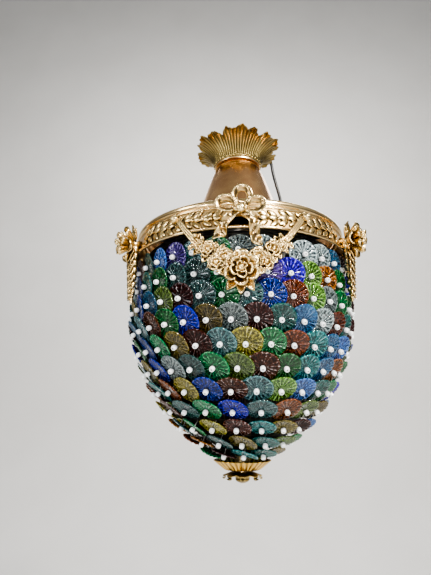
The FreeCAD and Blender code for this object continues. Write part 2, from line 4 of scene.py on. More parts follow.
import bmesh
import bpy
import numpy as np
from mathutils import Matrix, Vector


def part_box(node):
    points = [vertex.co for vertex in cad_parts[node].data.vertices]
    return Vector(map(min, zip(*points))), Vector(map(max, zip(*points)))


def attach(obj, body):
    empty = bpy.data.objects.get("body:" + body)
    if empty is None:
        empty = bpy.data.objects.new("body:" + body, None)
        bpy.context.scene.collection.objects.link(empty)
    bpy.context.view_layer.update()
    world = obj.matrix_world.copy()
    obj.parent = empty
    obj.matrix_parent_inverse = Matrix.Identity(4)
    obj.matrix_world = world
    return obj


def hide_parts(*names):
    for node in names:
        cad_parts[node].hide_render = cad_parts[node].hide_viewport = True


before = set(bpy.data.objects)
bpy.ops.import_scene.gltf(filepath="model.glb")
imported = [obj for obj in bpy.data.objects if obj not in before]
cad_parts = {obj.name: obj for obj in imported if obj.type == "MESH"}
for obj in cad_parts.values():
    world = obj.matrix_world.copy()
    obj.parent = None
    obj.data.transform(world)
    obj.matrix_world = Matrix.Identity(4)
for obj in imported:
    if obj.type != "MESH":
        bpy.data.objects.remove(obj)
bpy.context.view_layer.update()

# Hanging glass-disc lamp. Metres in the scene; the sizes below are millimetres and are scaled by MM.
# Azimuth 0 is the front, towards -Y, and grows towards +X.

MM = 0.001
# How far the ambient occlusion that paints shade into crevices looks.
CREVICE = 0.007
RIB_MARK = "rib"
DRAW = random.Random(11)
THIRDS = (0, 120, 240)
SIXTHS = (60, 180, 300)


def top_of(node):
    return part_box(node)[1].z / MM


def foot_of(node):
    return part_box(node)[0].z / MM


def reach_of(node):
    """The largest radius of a node that is round the lamp's axis."""
    return max(-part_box(node)[0].x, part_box(node)[1].x) / MM


BAND_TOP_Z, BAND_FOOT_Z = top_of("laurel_band"), foot_of("laurel_band")
BAND_FOOT_R = reach_of("laurel_band")
BAND_TAPER = 6.8
BAND_TOP_R = BAND_FOOT_R - BAND_TAPER
CROWN_FLOOR_Z = foot_of("crown_cup")
CUP_FOOT_Z = foot_of("bottom_cup")
BEAD_R = 3.0
PLATE_HALF = 1.0      # half the thickness of a disc at its bead
PIN_HEAD_R = 0.85
KNOB_Z = -198.0
STALK_Z = -206.0      # where a standing rose's stalk leaves the band


# ------------------------------------------------------------------- materials


def node_tree(name):
    material = bpy.data.materials.new(name)
    material.use_nodes = True
    nodes, links = material.node_tree.nodes, material.node_tree.links
    shader = nodes["Principled BSDF"]
    return material, nodes, links, shader


def noise_of(nodes, links, scale, detail=3.0, stretch=(1, 1, 1)):
    where = nodes.new("ShaderNodeTexCoord")
    turn = nodes.new("ShaderNodeMapping")
    turn.inputs["Scale"].default_value = stretch
    noise = nodes.new("ShaderNodeTexNoise")
    noise.inputs["Scale"].default_value = scale
    noise.inputs["Detail"].default_value = detail
    links.new(where.outputs["Object"], turn.inputs["Vector"])
    links.new(turn.outputs["Vector"], noise.inputs["Vector"])
    return noise.outputs["Fac"]


def ramp_of(nodes, links, source, low, high, start=0.3, end=0.7):
    ramp = nodes.new("ShaderNodeValToRGB")
    ramp.color_ramp.elements[0].position = start
    ramp.color_ramp.elements[1].position = end
    ramp.color_ramp.elements[0].color = (*low, 1)
    ramp.color_ramp.elements[1].color = (*high, 1)
    links.new(source, ramp.inputs["Fac"])
    return ramp.outputs["Color"]


def level_of(nodes, links, source, low, high):
    level = nodes.new("ShaderNodeMapRange")
    level.inputs["To Min"].default_value = low
    level.inputs["To Max"].default_value = high
    links.new(source, level.inputs["Value"])
    return level.outputs["Result"]


def bump_of(nodes, links, source, strength, distance):
    bump = nodes.new("ShaderNodeBump")
    bump.inputs["Strength"].default_value = strength
    bump.inputs["Distance"].default_value = distance
    links.new(source, bump.inputs["Height"])
    return bump.outputs["Normal"]


def rib_of(nodes):
    """How far up a rib a point is: 0 in a flute, 1 on a ridge."""
    mark = nodes.new("ShaderNodeAttribute")
    mark.attribute_name = RIB_MARK
    return mark.outputs["Fac"]


def blend(nodes, links, share, colour, other):
    mix = nodes.new("ShaderNodeMix")
    mix.data_type = "RGBA"
    links.new(share, mix.inputs["Factor"])
    links.new(colour, mix.inputs["A"])
    mix.inputs["B"].default_value = (*other, 1)
    return mix.outputs["Result"]


def brass(name, dull, bright, rough, grain, patina_and_shade=0.0, recess=(0.10, 0.05, 0.015), ribbed=False):
    """Cloudy brass with fine scratches. Castings get dark crevices, partly patina and partly painted shade,
    and fluted work gets painted shade in its flutes.
    """
    material, nodes, links, shader = node_tree(name)
    shader.inputs["Metallic"].default_value = 1.0
    cloud = noise_of(nodes, links, 28)
    colour = ramp_of(nodes, links, cloud, dull, bright)
    if ribbed:
        # Painted shade: where the rib mark is low, in the flutes, the colour goes towards the recess colour.
        flutes = ramp_of(nodes, links, rib_of(nodes), (0.85, 0.85, 0.85), (0, 0, 0), 0.1, 0.9)
        colour = blend(nodes, links, flutes, colour, recess)
    # Partly patina and partly painted shade: ambient occlusion darkens the crevices towards the recess
    # colour.
    if patina_and_shade:
        shade = nodes.new("ShaderNodeAmbientOcclusion")
        shade.samples = 8
        shade.inputs["Distance"].default_value = CREVICE
        dark = ramp_of(nodes, links, shade.outputs["AO"], (patina_and_shade, patina_and_shade, patina_and_shade), (0, 0, 0), 0.2, 0.8)
        colour = blend(nodes, links, dark, colour, recess)
    links.new(colour, shader.inputs["Base Color"])
    fine = noise_of(nodes, links, 900, 2.0)
    links.new(level_of(nodes, links, cloud, rough * 0.75, rough * 1.35), shader.inputs["Roughness"])
    links.new(bump_of(nodes, links, fine, grain, 0.0004), shader.inputs["Normal"])
    return material


def pressed_glass(name, shaded_tone, body, clear, shine=0.35, rough=0.035):
    """Ribbed pressed glass: painted shade in the flutes, its own colour on the ribs, and painted white glints
    on the highest ridges.
    """
    material, nodes, links, shader = node_tree(name)
    streak = noise_of(nodes, links, 420, 3.0)
    height = nodes.new("ShaderNodeMath")
    height.operation = "MULTIPLY_ADD"
    links.new(rib_of(nodes), height.inputs[0])
    height.inputs[1].default_value = 0.50
    links.new(level_of(nodes, links, streak, -0.62, 1.20), height.inputs[2])
    # Painted shade where the rib mark and the streaks are low, the glass's own colour above them.
    colour = ramp_of(nodes, links, height.outputs[0], shaded_tone, body, 0.2, 0.66)
    # Painted glints: the highest ridges turn almost white.
    painted_glint = colour.node.color_ramp.elements.new(0.98)
    painted_glint.color = (*[0.32 + 0.68 * tone for tone in body], 1)
    geometry = nodes.new("ShaderNodeNewGeometry")
    shade = nodes.new("ShaderNodeHueSaturation")
    island = geometry.outputs["Random Per Island"]
    links.new(level_of(nodes, links, island, 0.45, 1.5), shade.inputs["Value"])
    links.new(level_of(nodes, links, island, 0.48, 0.52), shade.inputs["Hue"])
    links.new(colour, shade.inputs["Color"])
    links.new(shade.outputs["Color"], shader.inputs["Base Color"])
    shader.inputs["Transmission Weight"].default_value = clear
    shader.inputs["IOR"].default_value = 1.52
    shader.inputs["Specular IOR Level"].default_value = shine
    links.new(level_of(nodes, links, streak, rough * 0.5, rough * 1.8), shader.inputs["Roughness"])
    links.new(bump_of(nodes, links, streak, 0.2, 0.0004), shader.inputs["Normal"])
    return material


def plain(name, dark, pale, rough, scale=200, grain=0.1, metallic=0.0, coat=0.0):
    """Paint, plastic, rubber, wire or opal glass: two close tones and a fine grain."""
    material, nodes, links, shader = node_tree(name)
    cloud = noise_of(nodes, links, scale)
    links.new(ramp_of(nodes, links, cloud, dark, pale), shader.inputs["Base Color"])
    links.new(level_of(nodes, links, cloud, rough * 0.8, rough * 1.2), shader.inputs["Roughness"])
    links.new(bump_of(nodes, links, cloud, grain, 0.0003), shader.inputs["Normal"])
    shader.inputs["Metallic"].default_value = metallic
    shader.inputs["Coat Weight"].default_value = coat
    return material


def woven_wire(name):
    """Dark wire mesh: bright wires on black, from two sets of waves round the basket. The black between the
    wires is painted shade, the dark inside seen through the mesh.
    """
    material, nodes, links, shader = node_tree(name)
    where = nodes.new("ShaderNodeTexCoord")
    heights = []
    for direction in ("X", "Z"):
        wave = nodes.new("ShaderNodeTexWave")
        wave.bands_direction = direction
        wave.inputs["Scale"].default_value = 55
        links.new(where.outputs["Object"], wave.inputs["Vector"])
        heights.append(wave.outputs["Fac"])
    top = nodes.new("ShaderNodeMath")
    top.operation = "MAXIMUM"
    links.new(heights[0], top.inputs[0])
    links.new(heights[1], top.inputs[1])
    links.new(
        ramp_of(nodes, links, top.outputs[0], (0.004, 0.004, 0.004), (0.05, 0.042, 0.03), 0.8, 0.97),
        shader.inputs["Base Color"],
    )
    links.new(bump_of(nodes, links, top.outputs[0], 0.5, 0.0008), shader.inputs["Normal"])
    shader.inputs["Roughness"].default_value = 0.55
    shader.inputs["Metallic"].default_value = 0.3
    return material


# Each glass: its painted shade in the flutes, its own colour, how much light it lets through and, for some,
# its shine.
GLASS = {
    "glass_purple": pressed_glass("violet_glass", (0.005, 0.004, 0.04), (0.08, 0.05, 0.34), 0.62),
    "glass_cobalt": pressed_glass("cobalt_glass", (0.0, 0.001, 0.04), (0.001, 0.018, 0.45), 0.45, 0.25),
    "glass_sky": pressed_glass("sky_glass", (0.004, 0.025, 0.09), (0.08, 0.30, 0.66), 0.65),
    "glass_teal": pressed_glass("teal_glass", (0.0, 0.02, 0.02), (0.02, 0.27, 0.25), 0.62),
    "glass_slate": pressed_glass("slate_glass", (0.004, 0.018, 0.022), (0.11, 0.30, 0.30), 0.68),
    "glass_green": pressed_glass("green_glass", (0.0, 0.02, 0.005), (0.004, 0.22, 0.05), 0.5),
    "glass_yellow": pressed_glass("yellow_glass", (0.03, 0.025, 0.002), (0.42, 0.34, 0.045), 0.65),
    "glass_amber": pressed_glass("amber_glass", (0.014, 0.003, 0.0), (0.33, 0.085, 0.002), 0.5, 0.25),
    "glass_brown": pressed_glass("brown_glass", (0.006, 0.0012, 0.0005), (0.06, 0.010, 0.0025), 0.3, 0.1),
    "glass_amethyst": pressed_glass("amethyst_glass", (0.006, 0.001, 0.001), (0.075, 0.012, 0.006), 0.3, 0.1),
    "glass_clear": pressed_glass("clear_glass", (0.018, 0.032, 0.036), (0.66, 0.80, 0.80), 0.70, 0.45),
    "glass_lime": pressed_glass("lime_glass", (0.01, 0.03, 0.005), (0.25, 0.44, 0.07), 0.65),
}
POLISHED = brass("polished_brass", (0.55, 0.27, 0.12), (0.82, 0.50, 0.23), 0.2, 0.05)
GILT = brass("gilt_rim", (0.66, 0.43, 0.19), (0.92, 0.70, 0.37), 0.2, 0.08)
TURNED = brass("turned_brass", (0.58, 0.42, 0.20), (0.72, 0.55, 0.28), 0.3, 0.2)
CAST = brass(
    "cast_brass", (0.62, 0.43, 0.18), (0.92, 0.70, 0.34), 0.22, 0.35,
    patina_and_shade=0.86, recess=(0.09, 0.042, 0.011),
)
# Bow brass: painted shade down the middle of each ribbon from the rib mark, and dark creases that are partly
# patina and partly painted shade.
RIBBON = brass(
    "bow_brass", (0.58, 0.40, 0.17), (0.94, 0.74, 0.38), 0.22, 0.4,
    patina_and_shade=0.94, recess=(0.16, 0.085, 0.028), ribbed=True,
)
RECESS = brass(
    "band_ground", (0.42, 0.27, 0.11), (0.70, 0.50, 0.24), 0.34, 0.4,
    patina_and_shade=0.9, recess=(0.05, 0.025, 0.008),
)
# Antique brass: the rib mark paints shade in the flutes and highlights on the crown's lobe edges, and the
# occlusion darkens crevices, partly patina and partly painted shade.
ANTIQUE = brass(
    "antique_brass", (0.16, 0.11, 0.035), (0.50, 0.37, 0.14), 0.28, 0.3,
    patina_and_shade=0.9, recess=(0.015, 0.010, 0.003), ribbed=True,
)
# Golden brass for the ribbed cup, with painted shade in its flutes.
GOLDEN = brass(
    "golden_brass", (0.58, 0.34, 0.06), (0.84, 0.56, 0.16), 0.22, 0.15,
    recess=(0.22, 0.11, 0.015), ribbed=True,
)
WIRE = plain("dull_steel", (0.10, 0.095, 0.09), (0.26, 0.25, 0.24), 0.45, metallic=1.0)
BEAD = plain("white_bead_glass", (0.88, 0.89, 0.88), (0.97, 0.98, 0.98), 0.18, 300, 0.05, coat=0.6)
BLACK = plain("black_moulding", (0.010, 0.010, 0.010), (0.028, 0.028, 0.028), 0.42)
FLEX = plain("black_flex", (0.006, 0.006, 0.006), (0.018, 0.018, 0.018), 0.38, 600)
OPAL = plain("opal_bulb_glass", (0.80, 0.78, 0.72), (0.92, 0.91, 0.86), 0.12, 60, 0.02, coat=0.5)
CAP = plain("bulb_cap_metal", (0.42, 0.42, 0.43), (0.62, 0.62, 0.63), 0.32, metallic=1.0)
BROWN_CORE = plain("brown_insulation", (0.10, 0.035, 0.015), (0.16, 0.06, 0.03), 0.4)
COPPER = plain("bare_copper", (0.55, 0.24, 0.12), (0.85, 0.42, 0.24), 0.35, 900, 0.4, metallic=1.0)
MESH = woven_wire("wire_mesh")


# ----------------------------------------------------------------- mesh making


def at(azimuth, radius, z):
    a = math.radians(azimuth)
    return np.array((radius * math.sin(a), -radius * math.cos(a), z))


def unit(v):
    return v / np.linalg.norm(v)


def round_angles(count):
    """Equal angles once round, in radians, with the first not repeated."""
    return np.linspace(0, 2 * math.pi, count, endpoint=False)


def sides_of(normal):
    """Two directions in the plane that a normal stands on."""
    side = unit(np.cross(normal, (0.31, 0.52, 0.79)))
    return side, np.cross(normal, side)


def upright(facing):
    """A facing as a unit, with the sideways and upward directions seen along it."""
    facing = unit(np.asarray(facing, float))
    up = np.array((0, 0, 1.0)) if abs(facing[2]) < 0.95 else np.array((0, 1.0, 0))
    across = unit(np.cross(up, facing))
    return facing, across, np.cross(facing, across)


def turned(points, azimuth):
    """Points made at the front, turned to another azimuth."""
    a = math.radians(azimuth)
    x, y, z = np.moveaxis(np.asarray(points, float), -1, 0)
    return np.stack([x * math.cos(a) - y * math.sin(a), x * math.sin(a) + y * math.cos(a), z], -1)


class Pile:
    """Collects the surfaces of one piece, in millimetres."""

    def __init__(self):
        self.verts, self.faces, self.marks, self.count = [], [], [], 0

    def add(self, verts, faces, marks=None):
        self.verts.append(np.asarray(verts, float))
        self.marks.append(np.ones(len(verts)) if marks is None else np.asarray(marks, float).ravel())
        self.faces += [[i + self.count for i in face] for face in faces]
        self.count += len(verts)

    def grid(self, points, round_u=False, round_v=False, marks=None):
        """A sheet of quads over points[u][v]. round_ closes it that way; marks is 1 where a rib is high."""
        points = np.asarray(points, float)
        nu, nv = points.shape[:2]
        faces = [
            (i * nv + j, (i + 1) % nu * nv + j, (i + 1) % nu * nv + (j + 1) % nv, i * nv + (j + 1) % nv)
            for i in range(nu if round_u else nu - 1)
            for j in range(nv if round_v else nv - 1)
        ]
        self.add(points.reshape(-1, 3), faces, marks)

    def ball(self, centre, radius, squash=1.0, facing=(0, 0, 1), sides=10):
        """A ball, flattened along facing."""
        facing = unit(np.asarray(facing, float))
        side = unit(np.cross(facing, (0.3, 0.5, 0.81)))
        other = np.cross(facing, side)
        rings = []
        for i in range(sides // 2 + 1):
            a = math.pi * (i + 0.02) / (sides // 2 + 0.04)
            ring = [
                centre + radius * (
                    math.sin(a) * (math.cos(b) * side + math.sin(b) * other) + squash * math.cos(a) * facing
                )
                for b in round_angles(sides)
            ]
            rings.append(ring)
        self.grid(rings, round_v=True)

    def tube(self, line, radii, sides=8):
        """A round bar along a line, closed at its ends."""
        line = np.asarray(line, float)
        radii = np.broadcast_to(radii, len(line))
        ahead = np.gradient(line, axis=0)
        rings = []
        side = np.cross(ahead[0], (0.21, 0.93, 0.3))
        for point, direction, radius in zip(line, ahead, radii):
            direction = unit(direction)
            side = unit(side - direction * side.dot(direction))
            other = np.cross(direction, side)
            rings.append([
                point + radius * (math.cos(b) * side + math.sin(b) * other)
                for b in round_angles(sides)
            ])
        rings = [[line[0]] * sides] + rings + [[line[-1]] * sides]
        self.grid(rings, round_v=True)

    def ribbon(self, line, across, width):
        """A strip along a line; across gives its sideways direction at each point."""
        line, across = np.asarray(line, float), np.asarray(across, float)
        width = np.broadcast_to(width, len(line))
        shares = np.linspace(-0.5, 0.5, 5)
        hollow = 0.10
        ahead = np.gradient(line, axis=0)
        points = []
        for point, direction, side, wide in zip(line, ahead, across, width):
            side = unit(side)
            lift = unit(np.cross(direction, side))
            points.append([point + side * wide * s + lift * wide * hollow * (4 * s * s) for s in shares])
        # The mark is 1 on the raised edges and 0 down the middle, where materials with shaded flutes paint
        # shade.
        self.grid(points, marks=[2 * abs(shares)] * len(line))

    def petal(self, origin, facing, spin, tilt, length, width, cup=0.25, base=0.0, pointed=False, wave=0.0):
        """A petal or leaf that grows from an origin: spin turns it about facing, tilt lifts it."""
        facing, across, over = upright(facing)
        s, t = math.radians(spin), math.radians(tilt)
        radial = math.cos(s) * over + math.sin(s) * across
        ahead = radial * math.cos(t) + facing * math.sin(t)
        normal = facing * math.cos(t) - radial * math.sin(t)
        side = np.cross(ahead, normal)
        points = []
        for i in range(8):
            u = i / 7
            if pointed:
                share = math.sin(math.pi * u ** 0.8) ** 0.8
            else:
                share = math.sin(math.pi * (0.1 + 0.8 * u)) ** 0.7
            row = []
            for j in range(7):
                v = j / 3 - 1
                lift = cup * width * (v * v * share * 0.5 + (u - 0.25) ** 2)
                lift += wave * math.sin(9 * u + 2 * v) * abs(v) - 0.06 * width * (1 - abs(v)) * share
                point = origin + radial * base + ahead * length * u + side * width / 2 * share * v
                row.append(point + normal * lift)
            points.append(row)
        self.grid(points)


def fan(pile, origin, facing, spin_by, tilt, length, half_angle, cup=0.3, ruffle=0.5, base=0.0):
    """A broad rounded petal that opens like a fan, cupped towards its facing."""
    facing, across, over = upright(facing)
    t = math.radians(tilt)
    points = []
    for i in range(7):
        u = i / 6
        row = []
        for j in range(9):
            v = j / 4 - 1
            a = math.radians(spin_by + half_angle * v * (1.15 - 0.25 * u))
            radial = math.cos(a) * over + math.sin(a) * across
            ahead = radial * math.cos(t) + facing * math.sin(t)
            normal = facing * math.cos(t) - radial * math.sin(t)
            reach = length * u * (1 - 0.20 * v ** 4 + 0.05 * (1 - abs(v)))
            lift = cup * length * (u * v * v * 0.55 + 0.5 * u ** 2.5)
            lift += ruffle * math.sin(5 * v + spin_by) * u ** 2
            row.append(origin + radial * base + ahead * reach + normal * lift)
        points.append(row)
    pile.grid(points)


def merged(piece, distance=1e-6):
    work = bmesh.new()
    work.from_mesh(piece.data)
    bmesh.ops.remove_doubles(work, verts=work.verts, dist=distance)
    bmesh.ops.dissolve_degenerate(work, edges=work.edges, dist=distance)
    bmesh.ops.recalc_face_normals(work, faces=work.faces)
    work.to_mesh(piece.data)
    work.free()


def make(name, pile, material, body, nodes=(), thickness=0.0, smooth=0):
    """Makes a piece from a pile: it rides a body, and replaces CAD nodes."""
    mesh = bpy.data.meshes.new(name)
    mesh.from_pydata((np.concatenate(pile.verts) * MM).tolist(), [], pile.faces)
    mesh.attributes.new(RIB_MARK, "FLOAT", "POINT").data.foreach_set("value", np.concatenate(pile.marks))
    piece = bpy.data.objects.new(name, mesh)
    bpy.context.scene.collection.objects.link(piece)
    merged(piece)
    mesh.materials.append(material)
    mesh.polygons.foreach_set("use_smooth", [True] * len(mesh.polygons))
    if thickness:
        solid = piece.modifiers.new("thickness", "SOLIDIFY")
        solid.thickness = thickness * MM
        solid.offset = 0
    if smooth:
        rounder = piece.modifiers.new("rounding", "SUBSURF")
        rounder.levels = rounder.render_levels = smooth
    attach(piece, body)
    if nodes:
        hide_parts(*nodes)
    return piece


def spin(pile, line, sides=144, wave=None, closed=False):
    """Adds the surface that an outline of (radius, z) makes about the lamp's axis.

    wave(azimuth in radians, share along the line) adds to the radius.
    """
    rows = []
    for i, (r, z) in enumerate(line):
        row = []
        for a in round_angles(sides):
            add = wave(a, i / (len(line) - 1)) if wave else 0.0
            row.append(((r + add) * math.sin(a), -(r + add) * math.cos(a), z))
        rows.append(row)
    crests = [wave(a, 1.0) for a in round_angles(sides)] if wave else None
    # The wave's crests give the rib mark, so materials with shaded flutes paint shade in its troughs.
    marks = None if crests is None else [0.5 + 0.5 * np.array(crests) / max(crests)] * len(line)
    pile.grid(rows, round_u=closed, round_v=True, marks=marks)


def curve_through(points, steps):
    """A smooth line through points (Catmull-Rom), with steps from each to the next."""
    p = np.asarray(points, float)
    p = np.vstack([2 * p[0] - p[1], p, 2 * p[-1] - p[-2]])
    line = []
    for i in range(1, len(p) - 2):
        for k in range(steps):
            t = k / steps
            a, b, c, d = p[i - 1], p[i], p[i + 1], p[i + 2]
            line.append(0.5 * (
                2 * b + (c - a) * t + (2 * a - 5 * b + 4 * c - d) * t * t + (3 * b - a - 3 * c + d) * t ** 3
            ))
    line.append(p[-2])
    return np.array(line)


# ----------------------------------------------------------------- camera, cord

EYE_TO_LENS = Vector((-8, -571, -406)) * MM
camera_data = bpy.data.cameras.new("camera")
camera_data.lens = 27.05
camera_data.sensor_width = 36
camera_data.sensor_fit = "AUTO"
camera = bpy.data.objects.new("camera", camera_data)
camera.location = EYE_TO_LENS
camera.rotation_euler = (math.radians(90 + 16.1), 0, math.radians(2.5))
bpy.context.scene.collection.objects.link(camera)
bpy.context.scene.camera = camera

FLEX_ROUTE = [
    (0.0117, 0.0076, -0.040), (0.0117, 0.0076, -0.024), (0.0197, 0.0128, -0.0107), (0.0327, 0.0212, -0.0057),
    (0.0457, 0.0297, -0.0107), (0.0537, 0.0349, -0.024), (0.0555, 0.0365, -0.042), (0.060, 0.038, -0.062),
    (0.066, 0.0395, -0.087), (0.069, 0.044, -0.113), (0.067, 0.060, -0.138), (0.061, 0.084, -0.157),
    (0.054, 0.110, -0.166), (0.050, 0.131, -0.1685), (0.050, 0.148, -0.1765), (0.051, 0.157, -0.192),
    (0.052, 0.159, -0.211), (0.053, 0.158, -0.240), (0.051, 0.159, -0.278), (0.054, 0.158, -0.318),
    (0.052, 0.157, -0.358), (0.054, 0.159, -0.394), (0.0525, 0.157, -0.424),
]
FLEX_D = 0.0048


def flex():
    curve = bpy.data.curves.new("flex", "CURVE")
    curve.dimensions = "3D"
    line = curve.splines.new("NURBS")
    line.points.add(len(FLEX_ROUTE) - 1)
    for point, place in zip(line.points, FLEX_ROUTE):
        point.co = (*place, 1)
    line.order_u = 3
    line.use_endpoint_u = True
    curve.resolution_u = 10
    curve.bevel_depth = FLEX_D / 2
    curve.bevel_resolution = 5
    curve.use_fill_caps = True
    curve.materials.append(FLEX)
    cord = bpy.data.objects.new("flex", curve)
    bpy.context.scene.collection.objects.link(cord)
    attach(cord, "lamp_frame")
    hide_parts("flex_cord")
    sleeves, strands = Pile(), Pile()
    end = np.array(FLEX_ROUTE[-1]) / MM
    for side, length in ((-1.15, 20.0), (1.15, 16.0)):
        core = [
            end + (side, 0, 0.5), end + (side * 1.6, 0.2, -length / 2), end + (side * 1.9, -0.2, -length),
        ]
        drop = curve_through(core, 6)
        sleeves.tube(drop, 0.85)
        strands.tube(curve_through([drop[-1] + (0, 0, 0.5), drop[-1] + (side * 0.2, 0.1, -5.5)], 4), 0.55)
    insulation = make("core_sleeves", sleeves, BROWN_CORE, "lamp_frame")
    copper = make("core_strands", strands, COPPER, "lamp_frame", ["flex_cores"])


# ----------------------------------------------------------------- glass discs


def islands(node):
    """The separate solids of a node, each as its points in millimetres."""
    work = bmesh.new()
    work.from_mesh(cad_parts[node].data)
    bmesh.ops.remove_doubles(work, verts=work.verts, dist=1e-6)
    seen, found = set(), []
    for vert in work.verts:
        if vert in seen:
            continue
        group, todo = [], [vert]
        seen.add(vert)
        while todo:
            here = todo.pop()
            group.append(here.co / MM)
            for edge in here.link_edges:
                other = edge.other_vert(here)
                if other not in seen:
                    seen.add(other)
                    todo.append(other)
        found.append(np.array(group))
    work.free()
    return found


def seat_of(points):
    """A disc's centre, its outward direction and its radius."""
    centre = points.mean(0)
    normal = np.linalg.svd(points - centre, full_matrices=False)[2][2]
    away = centre * (1, 1, 0)
    if normal.dot(unit(away) + (0, 0, -0.3)) < 0:
        normal = -normal
    return centre, normal, np.linalg.norm(points - centre, axis=1).max()


FLUTES = 19
FLUTE_DEPTH = 0.55
SWAY = 0.09
# A disc's outline from boss to rim: the share of its radius, the height and the share of a flute's depth.
FRONT = (
    (0.07, 0.9, 0.0), (0.16, 1.05, 0.0), (0.24, 0.75, 0.7), (0.44, 0.70, 1.0), (0.66, 0.72, 1.0),
    (0.86, 0.80, 1.0), (0.96, 0.65, 0.8),
)
BACK = ((0.96, -0.70, 0.5), (0.6, -0.95, 0.6), (0.22, -0.95, 0.3), (0.07, -0.95, 0.0))


def ribbed_disc(pile, centre, normal, radius):
    """A pressed disc: a thin round plate with radial flutes, a boss and a rounded wavy rim."""
    side, other = sides_of(normal)
    spin_by = DRAW.uniform(0, math.pi)
    uneven, phase = DRAW.uniform(0.006, 0.018), DRAW.uniform(0, 6)
    size = radius * DRAW.uniform(1.0, 1.08)
    chips = [DRAW.uniform(-0.012, 0.012) for _ in range(4 * FLUTES)]
    crests = [DRAW.uniform(0.45, 1.25) * side_sign for _ in range(FLUTES) for side_sign in (0, 1, 0, -1)]
    rings, marks = [], []
    for share, height, depth in FRONT + ((1.0, 0.0, 0.0),) + BACK:
        ring = []
        for k, crest in enumerate(crests):
            a = spin_by + 0.5 * math.pi * k / FLUTES
            out = size * share * (1 + share * (uneven * math.sin(3 * a + phase) + 0.008 * crest + chips[k]))
            lift = height + FLUTE_DEPTH * depth * crest
            ring.append(centre + out * (math.cos(a) * side + math.sin(a) * other) + lift * normal)
            # The rib mark that the glass paints from: low in the flutes and round the boss, where it paints
            # shade, and a fixed mid value at the rim.
            marks.append(max(0.0, crest) * depth if share < 0.9 else 0.6)
        rings.append(ring)
    pile.grid(rings, round_v=True, round_u=True, marks=marks)


def white_bead(pile, centre, normal, radius):
    """A bead with a hole: a round section turned about the pin."""
    side, other = sides_of(normal)
    rings = []
    for b in round_angles(9):
        out = radius * (0.56 + 0.44 * math.cos(b))
        lift = radius * 0.92 * math.sin(b) * (1 + 0.05 * math.cos(b))
        rings.append([
            centre + out * (math.cos(a) * side + math.sin(a) * other) + lift * normal
            for a in round_angles(16)
        ])
    pile.grid(rings, round_u=True, round_v=True)


def glass_basket():
    beads, heads = Pile(), Pile()
    for node in GLASS:
        pile = Pile()
        for points in islands(node):
            centre, normal, radius = seat_of(points)
            normal = unit(normal + np.array([DRAW.uniform(-SWAY, SWAY) for _ in range(3)]))
            ribbed_disc(pile, centre, normal, radius)
            bead = centre + normal * (PLATE_HALF + BEAD_R)
            white_bead(beads, bead, normal, BEAD_R)
            heads.ball(bead + normal * (BEAD_R * 0.72), PIN_HEAD_R, 0.7, normal, 8)
        make(node.replace("glass_", "discs_"), pile, GLASS[node], "basket", [node])
    make("beads", beads, BEAD, "basket", ["white_beads"])
    make("pin_heads", heads, WIRE, "basket")


# ------------------------------------------------------------------ brass frame

LID_LINE = [
    (130.8, -181.5), (123, -180.1), (116, -178.2), (98, -173), (82, -166), (69, -157),
    (60.5, -145.5), (54.5, -129), (47.5, -107), (39, -81), (30.5, -59),
]
RIM_SECTION = [
    (131.5, -179.8), (133.2, -178.5), (136.0, -178.0), (138.6, -178.9), (140.2, -181.0), (140.6, -183.4),
    (139.9, -185.6), (138.6, -186.6), (138.9, -187.4), (138.4, -188.2), (136.6, -188.2), (133.0, -187.4),
    (131.5, -184.0),
]


def lid_and_rim():
    lid = Pile()
    outer = curve_through(LID_LINE, 5)
    spin(lid, outer, 160)
    make("spun_lid", lid, POLISHED, "lamp_frame", ["lid"], thickness=1.2)
    rim = Pile()
    section = curve_through(RIM_SECTION + RIM_SECTION[:1], 3)[:-1]
    spin(rim, section, 192, closed=True)
    make("rim", rim, GILT, "lamp_frame", ["rim_moulding"])


def band_r(z):
    return BAND_FOOT_R + (BAND_TOP_R - BAND_FOOT_R) * (z - BAND_FOOT_Z) / (BAND_TOP_Z - BAND_FOOT_Z)


def on_band(azimuth, along, z, lift):
    r = band_r(z)
    return at(azimuth + math.degrees(along / r), r + lift, z)


def band_leaf(pile, azimuth, z, heading, length, width, lift):
    """A raised laurel leaf on the band; heading is degrees from the way round, +X, upwards."""
    c, s = math.cos(math.radians(heading)), math.sin(math.radians(heading))
    points = []
    for i in range(8):
        u = i / 7
        share = math.sin(math.pi * u ** 0.85) ** 0.8
        row = []
        for j in range(7):
            v = j / 3 - 1
            across = width / 2 * share * v
            ridge = 0.5 if abs(v) < 0.2 else 0.0
            height = lift + 1.8 * share * (1 - v * v) - ridge * share + 1.2 * u
            row.append(on_band(azimuth, c * length * u - s * across, z + s * length * u + c * across, height))
        points.append(row)
    pile.grid(points)


# Each spray's leaves: their lean, length, rise on the band and height above it.
SPRAY = ((36, 15.5, 2.0, 0.1), (-36, 15.5, -2.0, 0.1), (4, 13.0, 0.0, 0.9))


